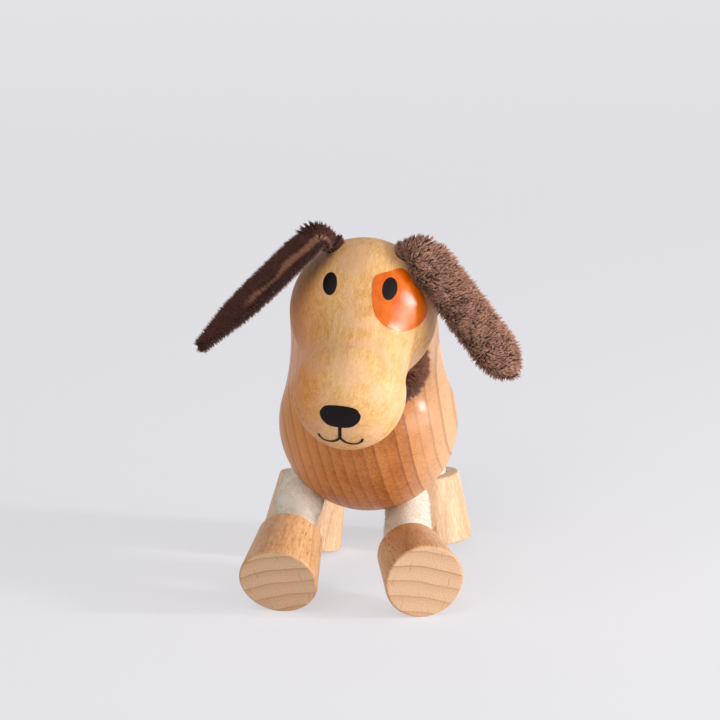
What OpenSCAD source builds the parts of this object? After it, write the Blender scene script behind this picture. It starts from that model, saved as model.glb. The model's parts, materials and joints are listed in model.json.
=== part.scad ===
// Standing toy dog: turned wooden head, body and feet on bendable cloth-covered limbs.
// Left and right are the dog's own. The dog faces -Y, its left is +X and the floor is at Z = 0.

/* [Body] */
// Diameter of the chest lobe
chest_d = 34.4; // [30:0.2:40]
// Diameter of the rump lobe
rump_d = 29.4; // [26:0.2:34]
// Distance between the centres of the two lobes
lobe_gap = 32; // [24:0.5:44]
// Radius of the hollow curve between the lobes
waist_r = 130; // [60:5:300]
// Height of the chest's centre above the floor
chest_height = 32.3; // [30:0.1:40]
// Rise of the back towards the rump, degrees
body_tilt = 23; // [10:1:30]
// Lean of the body about its long axis, degrees
body_roll = 10; // [0:1:15]

/* [Head] */
// Diameter of the cranium
cranium_d = 27.5; // [24:0.1:30]
// Diameter of the muzzle
muzzle_d = 20.7; // [17:0.1:23]
// Distance from the cranium's centre to the muzzle's centre
muzzle_reach = 20; // [16:0.1:26]
// Radius of the hollow curve between cranium and muzzle
cheek_r = 14; // [8:0.5:40]
// Muzzle's dip below level, degrees
head_pitch = 35.2; // [20:0.2:45]
// Muzzle's turn towards the dog's left, degrees
head_yaw = -10.6; // [-20:0.2:20]
// Roll of the face about the muzzle's axis, degrees
head_roll = -4.4; // [-12:0.2:12]

/* [Feet] */
// Diameter of a front sole
front_foot_d = 15.2; // [13:0.1:17]
// Diameter of a front foot at its top
front_foot_top_d = 12.4; // [11.5:0.1:13]
// Length of a front foot
front_foot_l = 13; // [11:0.1:15]
// Diameter of a rear sole
rear_foot_d = 16.2; // [14:0.1:17]
// Diameter of a rear foot at its top
rear_foot_top_d = 13.4; // [11.5:0.1:13.5]
// Length of a rear foot
rear_foot_l = 13.4; // [11:0.1:15]
// Rounding of a foot's two edges
foot_edge_r = 0.5; // [0.2:0.1:1]
// Depth of the leg's hole in a foot
foot_hole_l = 7; // [5:0.1:9]

/* [Stance] */
// Front left sole: to the dog's left of the chest's centre, and behind it
front_left_sole = [9.9, -24.3]; // [-30:0.1:30]
// Front left sole: its tip from straight down and the heading of that tip to the dog's left, degrees
front_left_lean = [80, 11.4]; // [-85:0.1:85]
// Front right sole: to the dog's left of the chest's centre, and behind it
front_right_sole = [-17.7, -21.7]; // [-30:0.1:30]
// Front right sole: its tip and heading, degrees
front_right_lean = [65.5, -12.4]; // [-85:0.1:85]
// Rear left sole: to the dog's left of the chest's centre, and behind it
rear_left_sole = [13.5, 26]; // [-30:0.1:40]
// Rear left sole: its tip and heading, degrees
rear_left_lean = [7.2, 57]; // [-85:0.1:85]
// Rear right sole: to the dog's left of the chest's centre, and behind it
rear_right_sole = [-12.8, 22.7]; // [-30:0.1:40]
// Rear right sole: its tip and heading, degrees
rear_right_lean = [11.7, -70]; // [-85:0.1:85]

/* [Legs] */
// Outer diameter of a knitted sleeve
sleeve_d = 8.6; // [7.6:0.1:9]
// Thickness of the knit
sleeve_t = 0.9; // [0.6:0.1:1.2]
// Diameter of a bending wire
wire_d = 1.6; // [1:0.1:2]
// Swelling of a sleeve half way along, as a share of its diameter
sleeve_swell = 0.04; // [0:0.01:0.08]
// Depth of a leg's hole below its lobe's ball
hip_hole_l = 5; // [4.5:0.1:5.2]
// Straight run of a rear leg past the rump's ball, until it is clear of the waist
rear_hip_run = 2.8; // [2.4:0.1:4]
// Sideways slant of the front leg holes, degrees
front_hip_splay = 34; // [31:1:40]
// Sideways slant of the rear leg holes, degrees
rear_hip_splay = 28; // [28:1:40]
// Forward slant of the front leg holes, degrees
front_hip_rake = 18; // [8:1:26]
// Forward slant of the rear leg holes, degrees
rear_hip_rake = 26; // [14:1:32]

/* [Neck] */
// Place of the neck on the chest, degrees up from straight ahead
neck_angle = 73; // [62:1:80]
// Length of the neck between chest and head
neck_l = 4.6; // [3:0.1:8]
// Lean of the neck forward from upright, degrees
neck_lean = 38.4; // [30:0.2:46]
// Lean of the neck to the dog's left, degrees
neck_side = -13.8; // [-20:0.2:20]
// Diameter of the plush ruff, pile included
ruff_d = 19; // [15:0.2:20]
// Diameter of the neck's soft cord
neck_core_d = 8; // [7:0.1:9]
// Depth of the neck's hole in the body and in the head
neck_hole_l = 8; // [6:0.2:9]

/* [Ears] */
// Length of the left ear outside the head
left_ear_l = 33; // [28:0.2:40]
// Length of the right ear outside the head
right_ear_l = 36; // [28:0.2:40]
// Width of an ear, pile included
ear_w = 10.6; // [8:0.1:12]
// Thickness of an ear, pile included
ear_t = 3.2; // [2.8:0.1:4]
// Left ear's slot: degrees to the left of the forehead's middle
left_ear_side = 31; // [24:1:50]
// Right ear's slot: degrees to the right of the forehead's middle
right_ear_side = 28; // [24:1:50]
// Ear slots: degrees behind the cranium's widest ring
ear_back = 24; // [15:1:45]
// Length of an ear slot
ear_slot_l = 4.8; // [4:0.1:6]
// Width of an ear slot
ear_slot_w = 2.8; // [2.2:0.1:3]
// Depth of an ear slot
ear_slot_depth = 4.5; // [3:0.1:6]
// Radius of the left ear's bend over the head's edge
left_ear_bend_r = 2.6; // [2.6:0.1:5]
// Fall of the left ear below level, degrees
left_ear_fall = 50.4; // [25:0.2:55]
// Swing of the left ear forward from straight sideways, degrees
left_ear_forward = 22; // [0:1:50]
// Twist of the left ear's blade, degrees
left_ear_twist = 38; // [-45:1:45]
// Radius of the right ear's bend over the head's edge
right_ear_bend_r = 3.5; // [2.6:0.1:5]
// Fall of the right ear below level, degrees
right_ear_fall = 34.4; // [25:0.2:55]
// Swing of the right ear forward from straight sideways, degrees
right_ear_forward = 34; // [0:1:50]
// Twist of the right ear's blade, degrees
right_ear_twist = -20; // [-45:1:45]

/* [Tail] */
// Length of the tail outside the body
tail_l = 20; // [12:0.5:28]
// Diameter of the tail at its fullest, pile included
tail_d = 6.4; // [5:0.1:8]
// Diameter of the tail's root and its hole
tail_root_d = 4.4; // [3.4:0.1:5]
// Depth of the tail's hole
tail_hole_l = 6; // [4:0.1:8]
// Rise of the tail's root above the line of the body, degrees
tail_rise = -6; // [-14:1:12]
// Fall of the tail's end below level, degrees
tail_fall = 56; // [0:1:75]

/* [Face] */
// Thickness of the print
paint_t = 0.08; // [0.05:0.01:0.2]
// Width of an eye
eye_w = 2.9; // [2:0.1:4]
// Height of an eye
eye_h = 4.6; // [3:0.1:6]
// Eyes: degrees to each side of the forehead's middle
eye_side = 25; // [18:0.5:32]
// Eyes: degrees in front of the cranium's widest ring
eye_front = 18; // [10:0.5:28]
// Width of the nose
nose_w = 7.5; // [5:0.1:9]
// Height of the nose
nose_h = 4.5; // [3:0.1:6]
// Width of the mouth
mouth_w = 8; // [5:0.1:10]
// Width of the mouth's printed bows
mouth_line_w = 0.5; // [0.3:0.05:0.8]
// Width of the printed line between nose and mouth
lip_line_w = 0.65; // [0.4:0.05:1]
// Width of the eye patch
patch_w = 13; // [9:0.1:14]

/* [Fits] */
// Gap round a soft piece in its hole
hole_gap = 0.1; // [0.05:0.01:0.2]
// Gap between the plush ruff and the wood
soft_gap = 0.3; // [0.2:0.05:0.5]
// Gap between one layer of a limb and the next
layer_gap = 0.06; // [0.03:0.01:0.1]

/* [Hidden] */
LEGS = ["front_left", "front_right", "rear_left", "rear_right"];
PAINT = ["painted_eyes", "painted_patch", "painted_nose", "painted_mouth"];

// Smoothness of round faces, of swept limbs and of leaf outlines
$fn = 96;
limb_sides = 16;
wire_sides = 8;
bend_steps = 11;
leaf_sides = 16;
leaf_steps = 18;

// Colours
wood = [0.86, 0.68, 0.50];
body_wood = [0.78, 0.56, 0.38];
knit = [0.93, 0.88, 0.80];
plush = [0.36, 0.24, 0.19];
cotton = [0.95, 0.94, 0.90];
steel = [0.62, 0.63, 0.65];
black = [0.08, 0.06, 0.06];
orange = [0.91, 0.47, 0.06];

// How far a cutting shape reaches past what it cuts
cut_past = 1;

// Place and lean of each sole, in the order of LEGS
STANCE = [
    [front_left_sole, front_left_lean],
    [front_right_sole, front_right_lean],
    [rear_left_sole, rear_left_lean],
    [rear_right_sole, rear_right_lean]];

// Vectors
function unit(v) = v / norm(v);
function rot_x(v, a) = [v.x, v.y * cos(a) - v.z * sin(a), v.y * sin(a) + v.z * cos(a)];
function rot_y(v, a) = [v.x * cos(a) + v.z * sin(a), v.y, v.z * cos(a) - v.x * sin(a)];
function rot_z(v, a) = [v.x * cos(a) - v.y * sin(a), v.x * sin(a) + v.y * cos(a), v.z];
function turn(v, axis, a) = v * cos(a) + cross(axis, v) * sin(a) + axis * (axis * v) * (1 - cos(a));
function smooth(t) = let (c = max(0, min(1, t))) c * c * (3 - 2 * c);
function mix(a, b, t) = a * (1 - t) + b * t;

// Body and head frames
chest = [0, 0, chest_height];
function body_dir(v) = rot_x(rot_y(v, body_roll), body_tilt);
rump = chest + body_dir([0, lobe_gap, 0]);
function head_dir(v) = rot_z(rot_x(rot_z(v, head_roll), 90 + head_pitch), head_yaw);

// Neck, a straight line from the chest to the cranium's centre
neck_axis = [
    sin(neck_side),
    -cos(neck_side) * sin(neck_lean),
    cos(neck_side) * cos(neck_lean)];
neck_low = chest + body_dir([0, -cos(neck_angle), sin(neck_angle)]) * chest_d / 2;
neck_high = neck_low + neck_axis * neck_l;
neck_core_r = neck_core_d / 2;
neck_hole_r = neck_core_r + hole_gap;
skull = neck_high + neck_axis * cranium_d / 2;
muzzle = skull + head_dir([0, 0, muzzle_reach]);

// A direction out of the head: degrees round its axis from the forehead, degrees towards the muzzle
function face_dir(side, front) = [sin(side) * cos(front), cos(side) * cos(front), sin(front)];

// Feet
function leg_index(leg) = search([leg], LEGS)[0];
function is_front(leg) = leg_index(leg) < 2;
function side_of(leg) = leg_index(leg) % 2 == 0 ? 1 : -1;
function sole_r(leg) = (is_front(leg) ? front_foot_d : rear_foot_d) / 2;
function top_r(leg) = (is_front(leg) ? front_foot_top_d : rear_foot_top_d) / 2;
function foot_l(leg) = is_front(leg) ? front_foot_l : rear_foot_l;
function taper(leg) = atan((sole_r(leg) - top_r(leg)) / foot_l(leg));
function rim_r(leg) = sole_r(leg) - foot_edge_r / tan(45 - taper(leg) / 2);
function top_rim_r(leg) = top_r(leg) - foot_edge_r / tan(45 + taper(leg) / 2);
function place(leg) = STANCE[leg_index(leg)][0];
function tip(leg) = STANCE[leg_index(leg)][1][0];
function heading(leg) = STANCE[leg_index(leg)][1][1];
function foot_axis(leg) = [
    sin(tip(leg)) * sin(heading(leg)),
    -sin(tip(leg)) * cos(heading(leg)),
    -cos(tip(leg))];
function sole_height(leg) = rim_r(leg) * sin(tip(leg)) + foot_edge_r * (1 - cos(tip(leg)));
function sole(leg) = concat(place(leg), [sole_height(leg)]);
function ankle(leg) = sole(leg) - foot_axis(leg) * foot_l(leg);

// Hips
function hip_lobe(leg) = is_front(leg) ? chest : rump;
function hip_lobe_r(leg) = (is_front(leg) ? chest_d : rump_d) / 2;
function hip_rake(leg) = is_front(leg) ? front_hip_rake : rear_hip_rake;
function hip_splay(leg) = is_front(leg) ? front_hip_splay : rear_hip_splay;
function splay_dir(leg) = [side_of(leg) * sin(hip_splay(leg)), 0, -cos(hip_splay(leg))];
function hip_axis(leg) = body_dir(rot_x(splay_dir(leg), -hip_rake(leg)));
function hip_run(leg) = is_front(leg) ? 0 : rear_hip_run;
function hip(leg) = hip_lobe(leg) + hip_axis(leg) * (hip_lobe_r(leg) + hip_run(leg));
function hip_depth(leg) = hip_hole_l + hip_run(leg);

// Middle line of a leg, from the bottom of its hole in the body to the bottom of its hole in the foot
leg_ease = 0.36;
function bezier(a, b, c, d, t) = let (u = 1 - t)
    u * u * u * a + 3 * t * u * u * b + 3 * t * t * u * c + t * t * t * d;
function leg_curve(leg) = let (
    top = hip(leg),
    low = ankle(leg),
    reach = norm(low - top) * leg_ease)
    [for (i = [0 : bend_steps])
        bezier(top, top + hip_axis(leg) * reach, low - foot_axis(leg) * reach, low, i / bend_steps)];
function leg_line(leg) = concat(
    [hip(leg) - hip_axis(leg) * (hip_depth(leg) - hole_gap)],
    leg_curve(leg),
    [ankle(leg) + foot_axis(leg) * (foot_hole_l - hole_gap)]);
function leg_swell(i) = 1 + sleeve_swell * sin(180 * max(0, min(1, (i - 1) / bend_steps)));

// Radii of the layers of a leg
sleeve_r = sleeve_d / 2;
core_r = sleeve_r - sleeve_t - layer_gap;
wire_r = wire_d / 2;
core_bore_r = wire_r + 2 * layer_gap;
hip_hole_r = sleeve_r + hole_gap;

// Ears. Each leaves its slot straight, bends over in an arc and then hangs straight
function is_left(ear) = ear == "left_ear";
function ear_sign(ear) = is_left(ear) ? 1 : -1;
function ear_l(ear) = is_left(ear) ? left_ear_l : right_ear_l;
function ear_side(ear) = ear_sign(ear) * (is_left(ear) ? left_ear_side : right_ear_side);
function ear_fall(ear) = is_left(ear) ? left_ear_fall : right_ear_fall;
function ear_forward(ear) = is_left(ear) ? left_ear_forward : right_ear_forward;
function ear_bend_r(ear) = is_left(ear) ? left_ear_bend_r : right_ear_bend_r;
function ear_twist(ear) = is_left(ear) ? left_ear_twist : right_ear_twist;
function ear_drop(ear) = [
    ear_sign(ear) * cos(ear_fall(ear)) * cos(ear_forward(ear)),
    -cos(ear_fall(ear)) * sin(ear_forward(ear)),
    -sin(ear_fall(ear))];
function ear_out(ear) = head_dir(face_dir(ear_side(ear), -ear_back));
function ear_slot_dir(ear) = head_dir(face_dir(ear_side(ear), 90 - ear_back));
function ear_root(ear) = skull + ear_out(ear) * cranium_d / 2;
function ear_bend(ear) = acos(ear_out(ear) * ear_drop(ear));
function ear_bend_axis(ear) = unit(cross(ear_out(ear), ear_drop(ear)));
function ear_heading(ear, run) = let (bent = min(ear_bend(ear), run / ear_bend_r(ear) * 180 / PI))
    turn(ear_out(ear), ear_bend_axis(ear), bent);
function ear_step(ear) = ear_l(ear) / leaf_steps;
function walk_ear(ear, p, i) = i == leaf_steps ? [p]
    : concat([p], walk_ear(ear, p + ear_step(ear) * ear_heading(ear, (i + 0.5) * ear_step(ear)), i + 1));
function ear_line(ear) = concat(
    [ear_root(ear) - ear_out(ear) * (ear_slot_depth - hole_gap)],
    walk_ear(ear, ear_root(ear), 0));

// Outline of an ear: as narrow as its slot at the root, full from part of the way along, round at the tip.
// The shares of its length where it widens, thickens, twists and rounds off
ear_widen = 0.19;
ear_thicken = 0.16;
ear_twist_from = 0.02;
ear_twist_over = 0.22;
ear_tip_share = 0.2;
blunt = 0.15;
function round_off(s, share) = sqrt(max(blunt * blunt, 1 - pow(max(0, (s - 1 + share) / share), 2)));
function ear_half_w(s) = mix(ear_slot_l / 2 - hole_gap, ear_w / 2, smooth(s / ear_widen))
    * round_off(s, ear_tip_share);
function ear_half_t(s) = mix(ear_slot_w / 2 - hole_gap, ear_t / 2, smooth(s / ear_thicken))
    * round_off(s, ear_tip_share);
function ear_ring(ear, line, i) = let (
    s = max(0, i - 1) / leaf_steps,
    along = i == 0 ? ear_out(ear) : ear_heading(ear, s * ear_l(ear)),
    flat = unit(ear_slot_dir(ear) - along * (ear_slot_dir(ear) * along)),
    blade = turn(flat, along, ear_twist(ear) * smooth((s - ear_twist_from) / ear_twist_over)),
    thick = cross(along, blade))
    [for (k = [0 : leaf_sides - 1]) let (a = 360 * k / leaf_sides)
        line[i] + blade * ear_half_w(s) * cos(a) + thick * ear_half_t(s) * sin(a)];
function ear_rings(ear) = let (line = ear_line(ear))
    [for (i = [0 : leaf_steps + 1]) ear_ring(ear, line, i)];

// Tail, straight out of the rump and then drooping, full from part of the way along
tail_swell = 0.4;
tail_tip_share = 0.45;
tail_out = body_dir([0, cos(tail_rise), sin(tail_rise)]);
tail_root = rump + tail_out * rump_d / 2;
tail_droop = [0, cos(tail_fall), -sin(tail_fall)];
tail_step = tail_l / leaf_steps;
function tail_heading(s) = unit(mix(tail_out, tail_droop, smooth(s / tail_l)));
function walk_tail(p, i) = i == leaf_steps ? [p]
    : concat([p], walk_tail(p + tail_step * tail_heading((i + 0.5) * tail_step), i + 1));
tail_line = concat([tail_root - tail_out * (tail_hole_l - hole_gap)], walk_tail(tail_root, 0));
function tail_radius(i) = let (s = max(0, i - 1) / leaf_steps)
    mix(tail_root_d / 2 - hole_gap, tail_d / 2, smooth(s / tail_swell)) * round_off(s, tail_tip_share);

// Rings round a middle line, and the faces between them
function line_dir(line, i) = unit(line[min(i + 1, len(line) - 1)] - line[max(i - 1, 0)]);
function circle_ring(line, i, r, sides) = let (
    along = i == 0 ? unit(line[1] - line[0])
        : i == len(line) - 1 ? unit(line[i] - line[i - 1]) : line_dir(line, i),
    a1 = unit(cross(along, [1, 0, 0])),
    a2 = cross(along, a1))
    [for (k = [0 : sides - 1]) let (a = 360 * k / sides)
        line[i] + r * (a1 * cos(a) + a2 * sin(a))];
function flatten(lists) = [for (l = lists) each l];
function skin(rings, sides, base, inward) = [for (i = [0 : rings - 2], k = [0 : sides - 1]) let (
    a = base + i * sides + k,
    b = base + i * sides + (k + 1) % sides,
    c = b + sides,
    d = a + sides)
    each (inward ? [[a, b, c], [a, c, d]] : [[a, c, b], [a, d, c]])];
function fan(sides, first, flip) = [for (k = [1 : sides - 2])
    flip ? [first, first + k + 1, first + k] : [first, first + k, first + k + 1]];
function bridge(sides, a, b, flip) = [for (k = [0 : sides - 1]) let (n = (k + 1) % sides)
    each (flip
        ? [[a + k, b + k, b + n], [a + k, b + n, a + n]]
        : [[a + k, b + n, b + k], [a + k, a + n, b + n]])];

// A closed solid through the rings
module swept_solid(rings) {
    sides = len(rings[0]);
    count = len(rings);
    polyhedron(flatten(rings), concat(
        skin(count, sides, 0, false),
        fan(sides, 0, false),
        fan(sides, (count - 1) * sides, true)));
}

// A tube with one wall of rings inside the other
module swept_tube(outer, inner) {
    sides = len(outer[0]);
    count = len(outer);
    inside = count * sides;
    last = (count - 1) * sides;
    polyhedron(concat(flatten(outer), flatten(inner)), concat(
        skin(count, sides, 0, false),
        skin(count, sides, inside, true),
        bridge(sides, 0, inside, false),
        bridge(sides, last, inside + last, true)));
}

// The origin is on the floor under the middle of the figure's box
ear_points = concat(flatten(ear_rings("left_ear")), flatten(ear_rings("right_ear")));
tail_rings = [for (i = [0 : leaf_steps + 1]) circle_ring(tail_line, i, tail_radius(i), leaf_sides)];
tail_end_y = max([for (p = flatten(tail_rings)) p.y]);
low_corner = [min([for (p = ear_points) p.x]), muzzle.y - muzzle_d / 2];
high_corner = [max([for (p = ear_points) p.x]), tail_end_y];
origin = concat(-(low_corner + high_corner) / 2, [0]);

module aim(d) {
    rotate([0, acos(d.z), atan2(d.y, d.x)]) children();
}

module in_body() {
    translate(chest)
        rotate([body_tilt, 0, 0])
            rotate([0, body_roll, 0])
                children();
}

module in_head() {
    translate(skull)
        rotate([90 + head_pitch, 0, head_yaw])
            rotate([0, 0, head_roll])
                children();
}

// Stands children on the head: x across the face, y towards the crown, z straight out
module on_face(side, front) {
    rotate([0, 0, -side]) rotate([front - 90, 0, 0]) children();
}

// Half outline of two balls with a hollow curve between them, standing along Y from the first ball's centre
module two_ball_outline(r1, r2, gap, hollow) {
    along = (pow(r1 + hollow, 2) - pow(r2 + hollow, 2) + gap * gap) / (2 * gap);
    out = sqrt(pow(r1 + hollow, 2) - along * along);
    first = [out, along] * r1 / (r1 + hollow);
    second = [0, gap] + [out, along - gap] * r2 / (r2 + hollow);
    intersection() {
        union() {
            circle(r1);
            translate([0, gap]) circle(r2);
            difference() {
                polygon([[0, 0], first, [out, along], second, [0, gap]]);
                translate([out, along]) circle(hollow);
            }
        }
        translate([0, -r1 - cut_past])
            square([max(r1, r2) + cut_past, r1 + gap + r2 + 2 * cut_past]);
    }
}

// The turned head, larger all over by grow
module head_form(grow = 0) {
    in_head()
        rotate_extrude()
            two_ball_outline(cranium_d / 2 + grow, muzzle_d / 2 + grow, muzzle_reach, cheek_r - grow);
}

// The turned body
module body_form() {
    in_body()
        rotate([-90, 0, 0])
            rotate_extrude()
                two_ball_outline(chest_d / 2, rump_d / 2, lobe_gap, waist_r);
}

// A round hole from a point on the surface, down along its axis
module hole(mouth, axis, r, depth) {
    translate(mouth) aim(axis) translate([0, 0, -depth]) cylinder(r = r, h = depth + r);
}

module ear_slot(ear) {
    straight = ear_slot_l - ear_slot_w;
    in_head()
        on_face(ear_side(ear), -ear_back)
            translate([0, 0, cranium_d / 2 - ear_slot_depth])
                linear_extrude(ear_slot_depth + ear_slot_w) {
                    square([ear_slot_w, straight], center = true);
                    for (end = [-1, 1])
                        translate([0, end * straight / 2]) circle(d = ear_slot_w);
                }
}

module body() {
    color(body_wood)
        difference() {
            body_form();
            for (leg = LEGS)
                hole(hip(leg), hip_axis(leg), hip_hole_r, hip_depth(leg));
            hole(neck_low, neck_axis, neck_hole_r, neck_hole_l);
            hole(tail_root, tail_out, tail_root_d / 2, tail_hole_l);
        }
}

module head() {
    color(wood)
        difference() {
            head_form();
            hole(neck_high, -neck_axis, neck_hole_r, neck_hole_l);
            for (ear = ["left_ear", "right_ear"])
                ear_slot(ear);
        }
}

module foot_outline(leg) {
    e = foot_edge_r;
    lean = [cos(taper(leg)), sin(taper(leg))] * e;
    low = [rim_r(leg), e];
    high = [top_rim_r(leg), foot_l(leg) - e];
    polygon([[0, 0], [low.x, 0], low + lean, high + lean, [high.x, foot_l(leg)], [0, foot_l(leg)]]);
    for (rim = [low, high])
        translate(rim) circle(e);
}

module foot(leg) {
    color(wood)
        translate(sole(leg)) aim(-foot_axis(leg))
            difference() {
                rotate_extrude()
                    foot_outline(leg);
                translate([0, 0, foot_l(leg) - foot_hole_l])
                    cylinder(r = hip_hole_r, h = foot_hole_l + cut_past);
            }
}

function limb_rings(leg, r, sides, swell) = let (line = leg_line(leg))
    [for (i = [0 : len(line) - 1]) circle_ring(line, i, swell ? r * leg_swell(i) : r, sides)];

module sleeve(leg) {
    color(knit)
        swept_tube(
            limb_rings(leg, sleeve_r, limb_sides, true),
            limb_rings(leg, sleeve_r - sleeve_t, limb_sides, true));
}

module core(leg) {
    color(cotton)
        swept_tube(
            limb_rings(leg, core_r, limb_sides, false),
            limb_rings(leg, core_bore_r, limb_sides, false));
}

module wire(leg) {
    color(steel)
        swept_solid(limb_rings(leg, wire_r, wire_sides, false));
}

module along_neck(r, grow = 0) {
    translate(neck_low) aim(neck_axis)
        translate([0, 0, hole_gap - neck_hole_l - grow])
            cylinder(r = r, h = neck_l + 2 * (neck_hole_l - hole_gap + grow));
}

module neck_plush() {
    color(plush)
        difference() {
            translate((neck_low + neck_high) / 2) sphere(d = ruff_d);
            translate(chest) sphere(d = chest_d + 2 * soft_gap);
            translate(skull) sphere(d = cranium_d + 2 * soft_gap);
            along_neck(neck_hole_r, cut_past);
        }
}

module neck_core() {
    color(cotton)
        difference() {
            along_neck(neck_core_r);
            along_neck(core_bore_r, cut_past);
        }
}

module neck_wire() {
    color(steel)
        along_neck(wire_r);
}

module ear(name) {
    color(plush)
        swept_solid(ear_rings(name));
}

module tail() {
    color(plush)
        swept_solid(tail_rings);
}

// Skins of print, all over the head and all over the muzzle's ball
module head_skin() {
    difference() {
        head_form(paint_t);
        head_form();
    }
}

module muzzle_skin() {
    translate(muzzle)
        difference() {
            sphere(d = muzzle_d + 2 * paint_t);
            sphere(d = muzzle_d);
        }
}

// A prism that stands on the face and cuts an outline from a skin
module outline_on_face(side, front, about = 0) {
    in_head()
        translate([0, 0, about])
            on_face(side, front)
                linear_extrude(cranium_d) children();
}

oval_sides = 48;
function oval(w, h) = [for (k = [0 : oval_sides - 1]) let (a = 360 * k / oval_sides)
    [w / 2 * cos(a), h / 2 * sin(a)]];

// A smooth closed curve through points chosen by hand
curve_steps = 6;
function curve_at(p, i, t) = let (
    n = len(p),
    a = p[(i + n - 1) % n],
    b = p[i],
    c = p[(i + 1) % n],
    d = p[(i + 2) % n])
    b + t / 2 * (c - a + t * (2 * a - 5 * b + 4 * c - d + t * (3 * (b - c) + d - a)));
function closed_curve(p) = [for (i = [0 : len(p) - 1], k = [0 : curve_steps - 1])
    curve_at(p, i, k / curve_steps)];

// Half an outline with its mirror image
function with_mirror(side) = concat(side, [for (i = [len(side) - 1 : -1 : 0]) [-side[i].x, side[i].y]]);

module eye() {
    polygon(oval(eye_w, eye_h));
}

module painted_eyes() {
    color(black)
        intersection() {
            head_skin();
            for (side = [-1, 1])
                outline_on_face(side * eye_side, eye_front) eye();
        }
}

// The patch lies round the left eye. Its outline is in widths of the patch
patch_side = 36;
patch_front = 23;
patch_shape = [
    [-0.44, 0.12], [-0.39, 0.23], [-0.25, 0.35], [-0.1, 0.48], [0.05, 0.46], [0.2, 0.38],
    [0.37, 0.27], [0.5, 0.17], [0.53, 0.02], [0.44, -0.19], [0.28, -0.35], [0.09, -0.43],
    [-0.09, -0.44], [-0.24, -0.35], [-0.34, -0.2], [-0.41, -0.04]];

module painted_patch() {
    color(orange)
        difference() {
            intersection() {
                head_skin();
                outline_on_face(patch_side, patch_front)
                    polygon(closed_curve(patch_shape * patch_w));
            }
            outline_on_face(eye_side, eye_front) eye();
        }
}

// Nose, a wide oval with a flatter top. Half of its outline, in widths and heights of the nose
nose_front = 63.5;
nose_offset = [-0.5, -0.33];
nose_half = [[0.14, 0.47], [0.36, 0.39], [0.465, 0.21], [0.5, 0.01], [0.42, -0.27], [0.22, -0.46]];

module nose_outline() {
    outline_on_face(0, nose_front, muzzle_reach)
        translate(nose_offset)
            polygon(closed_curve([for (p = with_mirror(nose_half)) [p.x * nose_w, p.y * nose_h]]));
}

module painted_nose() {
    color(black)
        intersection() {
            muzzle_skin();
            nose_outline();
        }
}

// Mouth: a line from under the nose that forks into two bows, each half an oval hung on a slant.
// One side of its outline runs down the line, along a bow's upper edge, round its end and back
mouth_middle = -0.4;
mouth_top = 3;
mouth_fork = 0.25;
mouth_sag = 1.8;
mouth_slant = 1.35;
bow_steps = 12;
function bow(a) = let (u = (1 - cos(a)) / 2)
    [u * mouth_w / 2, mouth_fork - mouth_slant * u - mouth_sag * sin(a)];
function bow_way(a) = unit([mouth_w * sin(a) / 4, -mouth_slant * sin(a) / 2 - mouth_sag * cos(a)]);
function bow_edge(k, side) = let (a = 180 * k / bow_steps, way = bow_way(a))
    bow(a) + [-way.y, way.x] * side * mouth_line_w / 2;
mouth_side = concat(
    [[lip_line_w / 2, mouth_top]],
    [for (k = [1 : bow_steps]) bow_edge(k, 1)],
    [bow(180) + [0, mouth_line_w / 2]],
    [for (k = [bow_steps : -1 : 1]) let (p = bow_edge(k, -1)) if (p.x > 0) p]);

module painted_mouth() {
    color(black)
        difference() {
            intersection() {
                muzzle_skin();
                outline_on_face(0, 90, muzzle_reach)
                    translate([mouth_middle, 0]) polygon(with_mirror(mouth_side));
            }
            nose_outline();
        }
}

translate(origin) {
    body();
    head();
    for (leg = LEGS) {
        foot(leg);
        sleeve(leg);
        core(leg);
        wire(leg);
    }
    neck_plush();
    neck_core();
    neck_wire();
    for (name = ["left_ear", "right_ear"])
        ear(name);
    tail();
    painted_eyes();
    painted_patch();
    painted_nose();
    painted_mouth();
}
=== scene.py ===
"""A posable toy dog of turned beech, with plush ears, neck and tail and knitted legs, round its solids."""

import json
import math

import bpy
import numpy as np
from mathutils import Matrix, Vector


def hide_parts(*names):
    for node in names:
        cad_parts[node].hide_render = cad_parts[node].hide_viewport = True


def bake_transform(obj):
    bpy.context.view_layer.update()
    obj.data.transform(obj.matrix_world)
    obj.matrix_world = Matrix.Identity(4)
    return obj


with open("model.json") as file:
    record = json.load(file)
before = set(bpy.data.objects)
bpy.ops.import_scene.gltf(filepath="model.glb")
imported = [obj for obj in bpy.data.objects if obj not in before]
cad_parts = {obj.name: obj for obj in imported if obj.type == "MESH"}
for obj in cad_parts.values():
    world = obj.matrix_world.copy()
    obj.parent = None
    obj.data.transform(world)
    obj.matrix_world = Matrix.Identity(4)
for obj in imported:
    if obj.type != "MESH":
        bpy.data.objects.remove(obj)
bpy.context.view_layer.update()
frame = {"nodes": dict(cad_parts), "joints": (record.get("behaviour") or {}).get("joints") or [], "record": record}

# Sizes are in millimetres and angles in degrees, as on the solids. Blender's own unit is the metre
MM = 0.001

# The turned wood
CHEST_D = 34.4
CRANIUM_D = 27.5
BODY_TILT = 23
BODY_ROLL = 10
HEAD_PITCH = 35.2
HEAD_YAW = -10.6
HEAD_ROLL = -4.4

# The legs, from the bottom of a hole in the body to the bottom of a hole in the foot
LEGS = ("front_left", "front_right", "rear_left", "rear_right")
HIP_SPLAY = {"front": 34, "rear": 28}
HIP_RAKE = {"front": 18, "rear": 26}
HIP_RUN = {"front": 0, "rear": 2.8}
HIP_HOLE_L = 5
FOOT_HOLE_L = 7
HOLE_GAP = 0.1
LEG_EASE = 0.2
LEG_STEPS = 200
BEND_STEPS = 60
SLEEVE_D = 8.6
SLEEVE_T = 0.9
SLEEVE_SWELL = 0.04
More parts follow.
